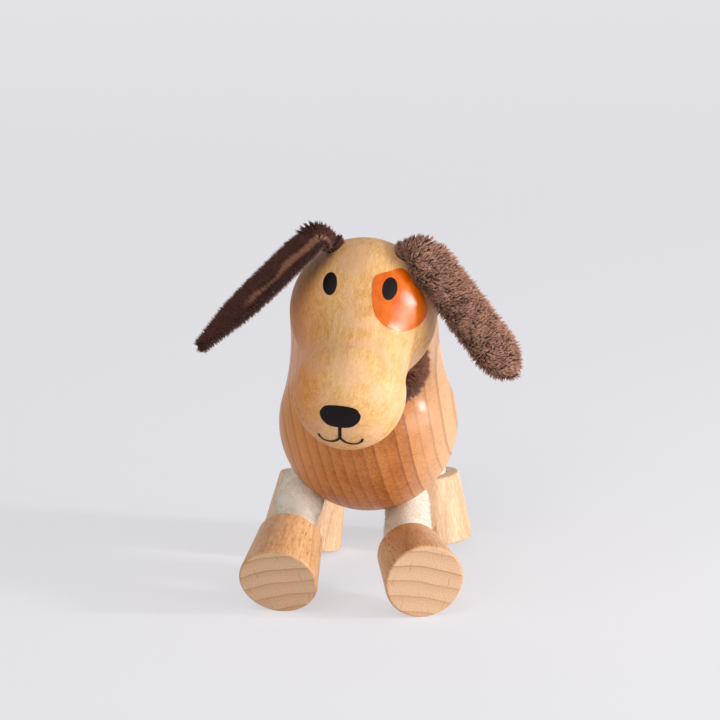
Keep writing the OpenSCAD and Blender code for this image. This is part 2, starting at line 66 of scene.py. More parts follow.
# A sleeve drawn in above its foot: by how much, how low, and the share of it that moves the sleeve aside
SLEEVE_TUCK = {"front_right": 0.6}
TUCK_LOW = 2.4
TUCK_ASIDE = 0.8
CORE_D = 6.6
WIRE_D = 1.6
BORE_D = 1.84

# The neck
NECK_HOLE_L = 8
NECK_CORE_D = 8
RUFF_D = 19
SOFT_GAP = 0.3

# The ears
EAR_SIDE = {"left_ear": 31, "right_ear": 28}
EAR_BACK = 24
EAR_L = {"left_ear": 33, "right_ear": 36}
EAR_W = 10.6
EAR_T = 3.2
EAR_SLOT_W = 4.8
EAR_SLOT_T = 2.8
EAR_SLOT_L = 4.5
EAR_BEND_R = {"left_ear": 2.6, "right_ear": 3.5}
EAR_FALL = {"left_ear": 50.4, "right_ear": 34.4}
EAR_FORWARD = {"left_ear": 22, "right_ear": 34}
EAR_TWIST = {"left_ear": 38, "right_ear": -20}
# Shares of an ear's length: its round tip, the start and run of its twist, and its widening and thickening
EAR_TIP = {"left_ear": 0.2, "right_ear": 0.5}
EAR_TWIST_FROM = 0.02
EAR_TWIST_OVER = 0.22
EAR_WIDEN = 0.19
EAR_THICKEN = 0.16
EAR_STEPS = 240

# The tail
TAIL_L = 20
TAIL_D = 6.4
TAIL_ROOT_D = 4.4
TAIL_HOLE_L = 6
TAIL_RISE = -6
TAIL_FALL = 56
TAIL_THICKEN = 0.4
TAIL_TIP = 0.45
TAIL_STEPS = 160

# The photograph's view. The chest's centre lies at this pixel of the 720 by 720 frame
IMAGE_SIDE = 720
PIXELS_PER_MM = 5.2
CHEST_PIXEL = (368.5, 421)
VIEW_AZIMUTH = -1.5
VIEW_ELEVATION = 14
VIEW_DISTANCE = 800
SENSOR_W = 36


# Vectors and curves

def unit(v):
    v = np.asarray(v, float)
    return v / np.linalg.norm(v, axis=-1, keepdims=True)


def turn(v, axis, degrees):
    """v turned about axis. v and degrees may be arrays of as many rows."""
    angle = np.radians(np.asarray(degrees, float))[..., None]
    axis = np.asarray(axis, float)
    v = np.asarray(v, float)
    along = (v * axis).sum(-1)[..., None] * axis
    return v * np.cos(angle) + np.cross(axis, v) * np.sin(angle) + along * (1 - np.cos(angle))


def smooth(t):
    t = np.clip(t, 0, 1)
    return t * t * (3 - 2 * t)


def mix(a, b, t):
    return a * (1 - t) + b * t


def steps_of(line):
    """The distances between a line's points."""
    return np.linalg.norm(np.diff(line, axis=0), axis=1)


def run_along(line):
    """How far along a line each of its points lies."""
    return np.concatenate([[0], steps_of(line).cumsum()])


def even_line(points, count):
    """The same line with its points spaced evenly."""
    run = run_along(points)
    want = np.linspace(0, run[-1], count)
    return np.stack([np.interp(want, run, points[:, k]) for k in range(3)], -1)


def headings(line):
    return unit(np.gradient(line, axis=0))


def walk(start, along, length):
    """A line of this length that starts there and follows these headings."""
    steps = (along[1:] + along[:-1]) / 2 * length / (len(along) - 1)
    return start + np.concatenate([np.zeros((1, 3)), steps.cumsum(0)])


def square_to(ways):
    """Two directions square to each of many directions and to each other."""
    across = unit(np.cross(ways, np.where(np.abs(ways[:, :1]) < 0.7, X_AXIS, Y_AXIS)))
    return across, np.cross(ways, across)


X_AXIS, Y_AXIS, Z_AXIS = np.eye(3)


def body_dir(x, y, z):
    """A direction of the turned body: y along it to the rump, z up."""
    return turn(turn(np.array([x, y, z], float), Y_AXIS, BODY_ROLL), X_AXIS, BODY_TILT)


def head_dir(x, y, z):
    """A direction of the turned head: z along it to the muzzle, y out of the forehead."""
    v = turn(np.array([x, y, z], float), Z_AXIS, HEAD_ROLL)
    return turn(turn(v, X_AXIS, 90 + HEAD_PITCH), Z_AXIS, HEAD_YAW)


def cos(degrees):
    return math.cos(math.radians(degrees))


def sin(degrees):
    return math.sin(math.radians(degrees))


# Places from the frame

JOINTS = {j["name"]: j for j in frame["joints"]}
SOLES = {m["name"]: m for m in frame["record"]["mounts"]}


def joint_place(name):
    return np.array(JOINTS[name]["pos_m"]) / MM


def joint_axis(name):
    return unit(JOINTS[name]["axis"])


def pair_of(leg):
    return leg.split("_")[0]


def side_of(name):
    """1 for a leg or ear on the left, and -1 for one on the right."""
    return 1 if "left" in name else -1


def hip_axis(leg):
    pair = pair_of(leg)
    splay = np.array([side_of(leg) * sin(HIP_SPLAY[pair]), 0, -cos(HIP_SPLAY[pair])])
    return body_dir(*turn(splay, X_AXIS, -HIP_RAKE[pair]))


def foot_axis(leg):
    return unit(SOLES[leg + "_sole"]["axis"])


def sole(leg):
    return np.array(SOLES[leg + "_sole"]["pos_m"]) / MM


CHEST = joint_place("front_left_hip") - hip_axis("front_left") * CHEST_D / 2
NECK_AXIS = joint_axis("head_turn")
NECK_LOW = joint_place("neck_nod")
NECK_HIGH = joint_place("head_turn")
NECK_BODIES = ("torso", "neck")
SKULL = NECK_HIGH + NECK_AXIS * CRANIUM_D / 2


# Meshes

class Piece:
    """The points and faces of one piece, gathered before they become a mesh."""

    def __init__(self):
        self.points = []
        self.faces = []
        self.slots = []
        self.shades = []
        self.tints = []
        self.count = 0

    def add(self, points, faces, slot=0, shade=0.0, tint=0.0):
        """points is (n, 3) in millimetres, and shade and tint are one number for each point or for all."""
        faces = np.asarray(faces) + self.count
        self.points.append(points)
        self.faces += faces.tolist()
        self.slots.append(np.full(len(faces), slot))
        self.shades.append(np.broadcast_to(np.asarray(shade, float), len(points)))
        self.tints.append(np.broadcast_to(np.asarray(tint, float), len(points)))
        self.count += len(points)

    def add_cap(self, ring, flip=False):
        """Closes a ring of points with a fan of triangles round its middle."""
        sides = len(ring)
        side = np.arange(sides)
        fan = np.stack([side, (side + 1) % sides, np.full(sides, sides)], -1)
        self.add(np.concatenate([ring, ring.mean(0)[None]]), fan[:, ::-1] if flip else fan)

    def build(self, name, materials):
        mesh = bpy.data.meshes.new(name)
        mesh.from_pydata((np.concatenate(self.points) * MM).tolist(), [], self.faces)
        mesh.polygons.foreach_set("material_index", np.concatenate(self.slots).astype(np.int32))
        mesh.polygons.foreach_set("use_smooth", np.ones(len(mesh.polygons), bool))
        for label, values in (("shade", self.shades), ("tint", self.tints)):
            attribute = mesh.attributes.new(label, "FLOAT", "POINT")
            attribute.data.foreach_set("value", np.concatenate(values).astype(np.float32))
        for material in materials:
            mesh.materials.append(material)
        mesh.update()
        made = bpy.data.objects.new(name, mesh)
        bpy.context.scene.collection.objects.link(made)
        return made

    def build_bent(self, name, materials, bodies, start, end):
        """Builds the piece, with its place baked into its points. bodies, start and end are not used."""
        made = self.build(name, materials)
        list(bodies)
        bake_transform(made)
        return made


def grid_faces(rings, sides, flip=False):
    """Quads between rings of points, each ring closed."""
    ring = np.arange(rings - 1)[:, None] * sides
    side = np.arange(sides)[None, :]
    following = (side + 1) % sides
    quads = np.stack([ring + side, ring + following, ring + following + sides, ring + side + sides], -1)
    quads = quads.reshape(-1, 4)
    return quads[:, ::-1] if flip else quads


def ring_places(rings, sides, first, last):
    """Shares and turns of rings of points between two shares of a swept form."""
    return np.repeat(np.linspace(first, last, rings), sides), np.tile(np.arange(sides) / sides, rings)


class Swept:
    """A form swept along a line: the line, its heading, two directions across it and the half sizes along them.
    A place on it is a share of its length and an angle round it, in turns."""

    def __init__(self, line, along, wide, half_w, half_t):
        self.share = np.linspace(0, 1, len(line))
        self.line = line
        self.along = along
        self.wide = wide
        self.thick = np.cross(along, wide)
        self.half_w = half_w
        self.half_t = half_t
        self.length = steps_of(line).sum()

    def read(self, values, share):
        if values.ndim == 1:
            return np.interp(share, self.share, values)
        return np.stack([np.interp(share, self.share, values[:, k]) for k in range(3)], -1)

    def at(self, share, turns, grow=0.0):
        angle = 2 * np.pi * np.asarray(turns, float)
        half_w = self.read(self.half_w, share) + grow
        half_t = self.read(self.half_t, share) + grow
        wide = self.read(self.wide, share) * (half_w * np.cos(angle))[..., None]
        thick = self.read(self.thick, share) * (half_t * np.sin(angle))[..., None]
        return self.read(self.line, share) + wide + thick

    def outward(self, share, turns, grow=0.0):
        """The direction straight out of the surface there."""
        step = 0.004
        low = np.clip(share - step, 0, 1)
        high = np.clip(share + step, 0, 1)
        along = self.at(high, turns, grow) - self.at(low, turns, grow)
        around = self.at(share, turns + step, grow) - self.at(share, turns - step, grow)
        out = unit(np.cross(around, along))
        away = self.at(share, turns, grow) - self.read(self.line, share)
        return out * np.where((out * away).sum(-1) < 0, -1.0, 1.0)[..., None]

    def skin(self, piece, rings, sides, grow, first=0.0, last=1.0):
        """Adds the surface between two shares, closed at both ends."""
        points = self.at(*ring_places(rings, sides, first, last), grow)
        piece.add(points, grid_faces(rings, sides))
        piece.add_cap(points[:sides], flip=True)
        piece.add_cap(points[-sides:])

    def tube(self, piece, rings, sides, outer, inner, relief, first=0.0, last=1.0):
        """Adds a wall between two growths, with a relief on its outside, closed round both ends."""
        share, turns = ring_places(rings, sides, first, last)
        outside = self.at(share, turns, outer + relief(share, turns))
        lining = self.at(share, turns, inner)
        piece.add(outside, grid_faces(rings, sides))
        piece.add(lining, grid_faces(rings, sides, flip=True))
        for ring, flip in ((0, True), (rings - 1, False)):
            part = slice(ring * sides, (ring + 1) * sides)
            piece.add(np.concatenate([outside[part], lining[part]]), grid_faces(2, sides, flip))


def round_form(line, along, half):
    """A swept form that is round."""
    return Swept(line, along, unit(np.cross(along, X_AXIS)), half, half)


def ripple(places, wavelength, seed, waves=7):
    """A smooth random height at each place, from about -1 to 1."""
    rng = np.random.default_rng(seed)
    ways = unit(rng.normal(size=(waves, 3))) * 2 * np.pi / (wavelength * rng.uniform(0.7, 1.6, (waves, 1)))
    phases = rng.uniform(0, 2 * np.pi, waves)
    return np.sin(places @ ways.T + phases).sum(-1) / math.sqrt(waves)


def add_strands(piece, roots, tips, radius, slot=0, tint=0.0):
    """One closed three-sided spike for each root and tip. Its shade runs from 0 at the root to 1 at the tip."""
    count = len(roots)
    across, other = square_to(unit(tips - roots))
    corners = 3
    points = np.empty((count, corners + 1, 3))
    for k in range(corners):
        angle = 2 * np.pi * k / corners
        points[:, k] = roots + (across * math.cos(angle) + other * math.sin(angle)) * radius
    points[:, corners] = tips
    pattern = np.array([[0, 1, 3], [1, 2, 3], [2, 0, 3], [2, 1, 0]])
    faces = (np.arange(count)[:, None, None] * (corners + 1) + pattern).reshape(-1, 3)
    shade = np.tile([0.0, 0.0, 0.0, 1.0], count)
    piece.add(points.reshape(-1, 3), faces, slot, shade, np.repeat(np.broadcast_to(tint, count), corners + 1))


# Shapes of the soft pieces

def leg_form(leg):
    """A leg with its sleeve's outer size, plain and as drawn in above the foot, and the shares of it where it
    leaves the body and meets the foot."""
    hip = joint_place(leg + "_hip")
    ankle = joint_place(leg + "_ankle")
    reach = np.linalg.norm(ankle - hip) * LEG_EASE
    a, b, c, d = hip, hip + hip_axis(leg) * reach, ankle - foot_axis(leg) * reach, ankle
    t = np.linspace(0, 1, BEND_STEPS)[:, None]
    u = 1 - t
    bend = u ** 3 * a + 3 * t * u * u * b + 3 * t * t * u * c + t ** 3 * d
    depth = HIP_HOLE_L + HIP_RUN[pair_of(leg)] - HOLE_GAP
    top = hip - hip_axis(leg) * depth
    bottom = ankle + foot_axis(leg) * (FOOT_HOLE_L - HOLE_GAP)
    bend_l = steps_of(bend).sum()
    total = depth + bend_l + FOOT_HOLE_L - HOLE_GAP
    line = even_line(np.concatenate([[top], bend, [bottom]]), LEG_STEPS)
    along = headings(line)
    leaves = depth / total
    meets = (depth + bend_l) / total
    down = np.clip((np.linspace(0, 1, LEG_STEPS) - leaves) / (meets - leaves), 0, 1)
    tuck = SLEEVE_TUCK.get(leg, 0) * np.sin(np.pi * down ** TUCK_LOW)
    line = line + X_AXIS * tuck[:, None] * TUCK_ASIDE
    half = SLEEVE_D / 2 * (1 + SLEEVE_SWELL * np.sin(np.pi * down))
    return round_form(line, along, half), round_form(line, along, half - tuck), leaves, meets


def round_off(share, over):
    """1 along a leaf, falling in a round end over its last share."""
    blunt = 0.15
    return np.sqrt(np.maximum(blunt ** 2, 1 - np.maximum(0, (share - 1 + over) / over) ** 2))


def ear_form(ear):
    """An ear with its full outer size, out of its slot, over in an arc and hanging straight with a twist, and
    the way out of that slot."""
    sign = side_of(ear)
    slot_way = joint_axis(ear + "_lift") * sign
    side = sign * EAR_SIDE[ear]
    out = head_dir(sin(side) * cos(EAR_BACK), cos(side) * cos(EAR_BACK), -sin(EAR_BACK))
    fall = EAR_FALL[ear]
    forward = EAR_FORWARD[ear]
    drop = np.array([sign * cos(fall) * cos(forward), -cos(fall) * sin(forward), -sin(fall)])
    bend = math.degrees(math.acos(out @ drop))
    share = np.linspace(0, 1, EAR_STEPS)
    bent = np.minimum(bend, np.degrees(share * EAR_L[ear] / EAR_BEND_R[ear]))
    along = turn(np.broadcast_to(out, (EAR_STEPS, 3)), unit(np.cross(out, drop)), bent)
    line = walk(joint_place(ear + "_lift"), along, EAR_L[ear])
    flat = unit(slot_way - along * (along @ slot_way)[:, None])
    blade = turn(flat, along, EAR_TWIST[ear] * smooth((share - EAR_TWIST_FROM) / EAR_TWIST_OVER))
    tip = round_off(share, EAR_TIP[ear])
    half_w = mix(EAR_SLOT_W / 2 - HOLE_GAP, EAR_W / 2, smooth(share / EAR_WIDEN)) * tip
    half_t = mix(EAR_SLOT_T / 2 - HOLE_GAP, EAR_T / 2, smooth(share / EAR_THICKEN)) * tip
    return Swept(line, along, blade, half_w, half_t), out


def tail_form():
    """The tail with its full outer size, straight out of the rump and then drooping, and the way out."""
    out = body_dir(0, cos(TAIL_RISE), sin(TAIL_RISE))
    droop = np.array([0, cos(TAIL_FALL), -sin(TAIL_FALL)])
    share = np.linspace(0, 1, TAIL_STEPS)
    along = unit(mix(out, droop, smooth(share)[:, None]))
    line = walk(joint_place("tail_wag"), along, TAIL_L)
    half = mix(TAIL_ROOT_D / 2 - HOLE_GAP, TAIL_D / 2, smooth(share / TAIL_THICKEN))
    return round_form(line, along, half * round_off(share, TAIL_TIP)), out


# Materials

class Nodes:
    """Short calls that build one node tree."""

    def __init__(self, owner):
        owner.use_nodes = True
        self.tree = owner.node_tree
        self.tree.nodes.clear()

    def node(self, kind, **settings):
        made = self.tree.nodes.new(kind)
        for key, value in settings.items():
            setattr(made, key, value)
        return made

    def put(self, socket, value):
        if isinstance(value, bpy.types.NodeSocket):
            self.tree.links.new(value, socket)
        elif value is not None:
            socket.default_value = value

    def sockets(self, made, **values):
        """Sets or links a node's sockets, named with underscores for spaces."""
        for key, value in values.items():
            self.put(made.inputs[key.replace("_", " ")], value)
        return made

    def fill(self, made, *values):
        """Sets or links a node's first sockets, and gives its first output."""
        for socket, value in zip(made.inputs, values):
            self.put(socket, value)
        return made.outputs[0]

    def math(self, operation, a, b=None, c=None):
        return self.fill(self.node("ShaderNodeMath", operation=operation), a, b, c)

    def vector(self, operation, a, b):
        made = self.node("ShaderNodeVectorMath", operation=operation)
        self.fill(made, a, b)
        return made.outputs["Value" if operation == "DOT_PRODUCT" else "Vector"]

    def fade(self, value, low, high, start=0.0, end=1.0):
        """start below low, end above high and a smooth step between."""
        made = self.node("ShaderNodeMapRange", interpolation_type="SMOOTHSTEP")
        self.sockets(made, Value=value, From_Min=low, From_Max=high, To_Min=start, To_Max=end)
        return made.outputs[0]

    def either(self, share, a, b):
        """Shader a, or b in this share."""
        return self.fill(self.node("ShaderNodeMixShader"), share, a, b)

    def seen(self):
        """1 for what the camera sees, straight or by way of a mirror or glass."""
        path = self.node("ShaderNodeLightPath")
        mirrored = self.math("ADD", path.outputs["Is Glossy Ray"], path.outputs["Is Transmission Ray"])
        return self.math("ADD", path.outputs["Is Camera Ray"], mirrored)


class Look(Nodes):
    """A material's node tree round a Principled shader."""

    def __init__(self, name):
        self.material = bpy.data.materials.new(name)
        super().__init__(self.material)
        self.shader = self.node("ShaderNodeBsdfPrincipled")
        self.output = self.node("ShaderNodeOutputMaterial")
        self.sockets(self.output, Surface=self.shader.outputs["BSDF"])

    def set(self, **values):
        self.sockets(self.shader, **values)

    def place(self):
        """The point in the frame at rest, in metres."""
        return self.node("ShaderNodeTexCoord").outputs["Object"]

    def along(self, origin, way):
        """How far the point lies from origin along a direction, in millimetres."""
        offset = self.vector("SUBTRACT", self.place(), tuple(np.asarray(origin) * MM))
        return self.vector("DOT_PRODUCT", offset, tuple(np.asarray(way) / MM))

    def combine(self, x, y, z):
        return self.fill(self.node("ShaderNodeCombineXYZ"), x, y, z)

    def noise(self, at, scale, detail=3.0, rough=0.55):
        made = self.node("ShaderNodeTexNoise")
        return self.sockets(made, Vector=at, Scale=scale, Detail=detail, Roughness=rough).outputs[0]

    def cells(self, at):
        """Distance to the nearest scattered point, and that point's own random number."""
        made = self.sockets(self.node("ShaderNodeTexVoronoi"), Vector=at, Scale=1.0)
        chance = self.fill(self.node("ShaderNodeSeparateColor"), made.outputs["Color"])
        return made.outputs["Distance"], chance

    def blend(self, share, a, b):
        made = self.node("ShaderNodeMix", data_type="RGBA", clamp_factor=True)
        colours = [s for s in made.inputs if s.type == "RGBA"]
        self.put(made.inputs[0], share)
        self.put(colours[0], a)
        self.put(colours[1], b)
        return [s for s in made.outputs if s.type == "RGBA"][0]

    def bump(self, height, strength, depth):
        """A normal from a height, where 1 stands for depth in millimetres."""
        made = self.node("ShaderNodeBump")
        return self.sockets(made, Strength=strength, Distance=depth * MM, Height=height).outputs[0]

    def attribute(self, name):
        return self.node("ShaderNodeAttribute", attribute_name=name).outputs["Fac"]

    def facing(self, way):
        """How squarely the surface at rest faces a direction or its opposite, from 0 to 1."""
        normal = self.node("ShaderNodeTexCoord").outputs["Normal"]
        return self.math("ABSOLUTE", self.vector("DOT_PRODUCT", normal, tuple(way)))


def colour(r, g, b):
    """Screen values from 0 to 255 as the linear colour that a shader takes."""
    return (*[(v / 255 / 12.92 if v < 10.3 else ((v / 255 + 0.055) / 1.055) ** 2.4) for v in (r, g, b)], 1)


class Grain:
    """Where one piece of wood was cut from its tree, and how its rings and flecks show."""

    def __init__(self, origin, fibre, radial, ring_w, skew=0.0, fan=0.0, curve=0.0, warp=0.5):
        self.origin = origin
        self.fibre = unit(fibre)
        self.radial = unit(radial - self.fibre * (np.asarray(radial) @ self.fibre))
        self.tangent = np.cross(self.fibre, self.radial)
        self.ring_w = ring_w
        self.skew = skew
        self.fan = fan
        self.curve = curve
        self.warp = warp


# Shares of a ring where its line is darkest and where it breaks off, and the least that a line shows
LATE_FULL = 0.95
LATE_BREAK = (0.955, 0.998)
LATE_LEAST = 0.45
# Where a fleck fades, how squarely a sawn end faces the fibre, and the cracks across that end
FLECK_FADE = (0.12, 0.38)
SAWN_FACING = (0.86, 0.97)
CRACK_PITCH = 2.7
CRACK_FADE = (0.012, 0.05)


def wood(name, grain, pale, deep, line, flecks, *, ring, edge, coat, gloss, level=0.2, thin=0.7,
         blush=None, painted_side_light=(), end=None):
    """Beech: rings with one sharp edge, dark flecks of rays, fine fibres and slow changes of tone. A fleck is
    its size across the rings, along them and along the fibre, how many places have one, and its strength.
    painted_side_light lists painted light and shade on one side of a piece: each tone, the way that side
    faces, where the tone starts and ends, and its share."""
    look = Look(name)
    r, t, f = [look.along(grain.origin, way) for way in (grain.radial, grain.tangent, grain.fibre)]

    def drawn_out(share):
        """The place in the wood, shortened along the fibre, so that noise there is drawn out along it."""
        return look.combine(r, t, look.math("MULTIPLY", f, share))

    # Rings, with their lines slanting, fanning and curving across the piece
    slow = look.noise(drawn_out(0.25), scale=0.09, detail=2)
    wander = look.math("MULTIPLY", look.math("SUBTRACT", slow, 0.5), 2 * grain.warp * grain.ring_w)
    slant = look.math("MULTIPLY_ADD", t, grain.skew, r)
    arc = look.math("MULTIPLY", look.math("MULTIPLY", t, t), grain.curve)
    spread = look.math("MULTIPLY_ADD", t, grain.fan, 1.0)
    run = look.math("DIVIDE", look.math("ADD", slant, arc), spread)
    rings = look.math("DIVIDE", look.math("ADD", run, wander), grain.ring_w)
    phase = look.math("FRACT", rings)
    chosen = look.node("ShaderNodeTexWhiteNoise", noise_dimensions="1D")
    own = look.sockets(chosen, W=look.math("FLOOR", rings)).outputs["Value"]
    late = look.math("MULTIPLY", look.fade(phase, thin, LATE_FULL), look.fade(phase, *LATE_BREAK, 1.0, 0.0))
    late = look.math("MULTIPLY", late, look.fade(own, 0.0, 1.0, LATE_LEAST, 1.0))

    # The marks in the colour of the lines: the rings' edges and the flecks of the rays
    marks = [(late, edge)]
    for size, share, strength in flecks:
        shaped = look.combine(*[look.math("DIVIDE", v, s) for v, s in zip((r, t, f), size)])
        distance, chance = look.cells(shaped)
        there = look.fade(chance, 1 - share, 1.1 - share)
        marks.append((look.math("MULTIPLY", look.fade(distance, *FLECK_FADE, 1.0, 0.0), there), strength))

    # Fine fibres, broader streaks and the slow change of tone
    fine = look.noise(drawn_out(0.16), scale=4.6, rough=0.6)
    streak = look.noise(drawn_out(0.1), scale=1.1, detail=4, rough=0.6)
    cloud = look.noise(drawn_out(0.4), scale=0.16)
    depth = look.math("MULTIPLY_ADD", own, 0.5 * ring, 0.4 - 0.4 * ring)
    for noise, weight in ((fine, 1.7), (streak, 1.3), (cloud, 1.0)):
        depth = look.math("MULTIPLY_ADD", look.math("SUBTRACT", noise, 0.5), weight, depth)
    depth = look.math("MULTIPLY_ADD", look.fade(phase, 0.0, 0.9), 0.35 * ring, depth)
    tone = look.blend(depth, pale, deep)
    if blush is not None:
        patches = look.noise(look.combine(t, f, r), scale=0.2, detail=4)
        tone = look.blend(look.fade(patches, 0.38, 0.6, 0.0, 0.6), tone, blush)
    # Painted light and shade: each tone is laid over one side of the piece, fading in along the way that side
    # faces
    for side_light_tone, way, low, high, share in painted_side_light:
        tone = look.blend(look.fade(look.along(grain.origin, way), low, high, 0.0, share), tone, side_light_tone)
    for mark, strength in marks:
        tone = look.blend(look.math("MULTIPLY", mark, strength), tone, line)

    # The sawn end: open pores, ring lines and a few cracks across them
    if end is not None:
        flat = look.combine(r, t, 0.0)
        grit = look.noise(flat, scale=4.2, detail=2, rough=0.7)
        sawn = look.blend(look.fade(grit, 0.25, 0.75), *end)
        sawn = look.blend(look.fade(phase, 0.3, 0.95, 0.0, 0.28), sawn, deep)
        sawn = look.blend(look.math("MULTIPLY", late, 0.42), sawn, line)
        sway = look.noise(flat, scale=0.35, detail=2)
        across = look.math("FRACT", look.math("MULTIPLY_ADD", sway, 0.5, look.math("DIVIDE", t, CRACK_PITCH)))
        away = look.math("ABSOLUTE", look.math("SUBTRACT", across, 0.5))
        broken = look.fade(look.noise(look.combine(r, t, 5.0), scale=0.3, detail=2), 0.46, 0.58)
        crack = look.math("MULTIPLY", look.fade(away, *CRACK_FADE, 1.0, 0.0), broken)
        sawn = look.blend(look.math("MULTIPLY", crack, 0.28), sawn, line)
        tone = look.blend(look.fade(look.facing(grain.fibre), *SAWN_FACING), tone, sawn)

    normal = look.bump(fine, strength=0.3, depth=0.05)
    look.set(Base_Color=tone, Normal=normal, Coat_Normal=normal, Coat_Weight=coat, Coat_Roughness=gloss)
    look.set(Roughness=look.math("MULTIPLY_ADD", streak, 0.2, 0.38), Specular_IOR_Level=level)
    return look.material


def printed(name, tone, shade, coat, gloss, level):
    """Printed paint that shows the wood's fibres under it."""
    look = Look(name)
    across, up, f = [look.along(SKULL, head_dir(*way)) for way in ((1, 0, 0), (0, 1, 0), (0, 0, 1))]
    fibre = look.noise(look.combine(across, up, look.math("MULTIPLY", f, 0.3)), scale=3.6, rough=0.6)
    mottle = look.noise(look.combine(across, up, f), scale=0.5)
    look.set(Base_Color=look.blend(look.fade(mottle, 0.3, 0.75), tone, shade))
    normal = look.bump(fibre, strength=0.6, depth=0.08)
    look.set(Normal=normal, Coat_Normal=normal, Coat_Weight=coat, Coat_Roughness=gloss, Coat_IOR=1.5)
    look.set(Roughness=look.math("MULTIPLY_ADD", fibre, 0.2, 0.35), Specular_IOR_Level=level)
    return look.material


def plush_look(name, root, tip, tan):
    """Pile, dark at its roots and pale at its tips. A strand's tint turns it to the tan of the backing."""
    look = Look(name)
    shade = look.attribute("shade")
    tint = look.attribute("tint")
    clump = look.noise(look.place(), scale=900.0, detail=2)
    depth = look.math("MULTIPLY", shade, look.fade(clump, 0.25, 0.75, 0.55, 1.0))
    tone = look.blend(depth, root, tip)
    look.set(Base_Color=look.blend(tint, tone, tan), Roughness=0.85, Specular_IOR_Level=0.2)
    look.set(Sheen_Weight=0.25, Sheen_Roughness=0.5, Sheen_Tint=(0.9, 0.72, 0.62, 1))
    return look.material


def knit_look():
    """Cream brushed knit: yarn whose tone changes at random in fine flecks and in broader yellower patches."""
    look = Look("brushed_knit")
    yarn = look.noise(look.place(), scale=2600.0)
    patch = look.noise(look.place(), scale=260.0, detail=2)
    tone = look.blend(look.fade(yarn, 0.3, 0.7), colour(251, 238, 216), colour(255, 253, 247))
    tone = look.blend(look.fade(patch, 0.4, 0.75, 0.0, 0.35), tone, colour(244, 224, 192))
    look.set(Base_Color=tone, Roughness=0.92, Specular_IOR_Level=0.15)
    look.set(Sheen_Weight=0.7, Sheen_Roughness=0.6, Sheen_Tint=(1, 0.95, 0.88, 1))
    look.set(Normal=look.bump(yarn, strength=0.4, depth=0.05))
    return look.material


def cord_look():
    look = Look("cotton_cord")
    yarn = look.noise(look.place(), scale=1500.0, detail=4)
    look.set(Base_Color=look.blend(yarn, colour(214, 206, 190), colour(246, 242, 232)))
    look.set(Roughness=0.9, Normal=look.bump(yarn, strength=0.5, depth=0.1))
    return look.material


def wire_look():
    look = Look("steel_wire")
    drawn = look.noise(look.place(), scale=700.0, detail=4)
    look.set(Base_Color=look.blend(drawn, colour(140, 142, 146), colour(196, 198, 202)), Metallic=1.0)
    look.set(Roughness=look.math("MULTIPLY_ADD", drawn, 0.25, 0.22))
    look.set(Normal=look.bump(drawn, strength=0.2, depth=0.02))
    return look.material


# Wood and print on the turned pieces

# A foot's pale and deep wood and its lines, and how far its rings face to its side and upward
FOOT_TONES = {
    "front": ((238, 188, 138), (190, 126, 72), (140, 86, 46)),
    "rear": ((248, 212, 174), (212, 156, 106), (150, 96, 56))}
FOOT_LEAN = {
    "front_left": (0.19, 0.98), "front_right": (-0.27, 0.96), "rear_left": (0.8, 0.6), "rear_right": (0.9, 0.4)}


def dress_wood():
    nodes = frame["nodes"]

    def finish(node, material):
        nodes[node].data.materials.clear()
        nodes[node].data.materials.append(material)

    grain = Grain(CHEST, body_dir(0, 1, 0), body_dir(1, 0, 0), ring_w=2.3, skew=-0.46, fan=-0.004, warp=0.2)
    finish("body", wood(
        "body_beech", grain, colour(214, 138, 76), colour(164, 90, 40), colour(122, 66, 28),
        [((2.6, 0.3, 1.5), 0.35, 0.35), ((1.2, 0.22, 0.8), 0.5, 0.15)],
        # Painted light and shade: a paler tone on the side that faces the key lamp, and a deeper orange on the
        # side turned away from the lamps
        painted_side_light=[(colour(238, 192, 148), X_AXIS, 4.0, 16.0, 0.7), (colour(250, 168, 92), -X_AXIS, 5.0, 15.0, 0.7)],
        ring=0.95, edge=0.4, coat=0.3, gloss=0.17, level=0.1))
    grain = Grain(SKULL, head_dir(0, 0, 1), head_dir(0.2, 1, 0), ring_w=3.4, curve=0.01)
    finish("head", wood(
        "head_beech", grain, colour(250, 203, 140), colour(214, 138, 52), colour(150, 88, 38),
        [((6.0, 0.3, 1.3), 0.5, 0.2), ((14.0, 0.7, 3.2), 0.05, 0.45), ((1.6, 0.18, 1.0), 0.4, 0.22)],
        # painted_side_light here is painted shade: a deeper orange on the head's side that is turned away from the
        # lamps
        blush=colour(244, 194, 154), painted_side_light=[(colour(226, 112, 12), -X_AXIS, 5.5, 15.0, 0.6)],
        ring=0.08, edge=0.05, coat=0.12, gloss=0.27, level=0.05))
    for leg in LEGS:
        pair = pair_of(leg)
        axis = foot_axis(leg)
        across = unit(np.cross(Z_AXIS if pair == "front" else Y_AXIS, axis))
        upward = np.cross(axis, across)
        side, rise = FOOT_LEAN[leg]
        grain = Grain(sole(leg), axis, across * side + upward * rise, ring_w=3.1, warp=0.26, curve=0.012)
        finish(leg + "_foot", wood(
            leg + "_foot_beech", grain, *[colour(*tone) for tone in FOOT_TONES[pair]],
            [((4.0, 0.3, 2.6), 0.3, 0.6)], end=(colour(212, 166, 126), colour(240, 204, 168)),
            ring=0.3, edge=0.3, thin=0.84, coat=0.25, gloss=0.3))
    black = printed("black_paint", colour(26, 15, 16), colour(16, 10, 11), coat=0.06, gloss=0.2, level=0.12)
    for node in ("painted_eyes", "painted_nose", "painted_mouth"):
        finish(node, black)
    finish("painted_patch", printed(
        "orange_paint", colour(226, 110, 1), colour(214, 86, 1), coat=0.75, gloss=0.17, level=0.08))


# Plush pieces

# A plush piece's material slots are 0 for the backing and this for the pile
PILE = 1
PILE_L = 1.2
PILE_SINK = 0.7
NAP = 0.3
# Tufts: their pitch, the length of a clump of them, their lean with it and on their own, and their heights
TUFT_PITCH = 0.47
CLUMP_L = 2.0
CLUMP_LEAN = 0.22
TUFT_LEAN = 0.12
TUFT_TALL = (-0.2, 0.15)
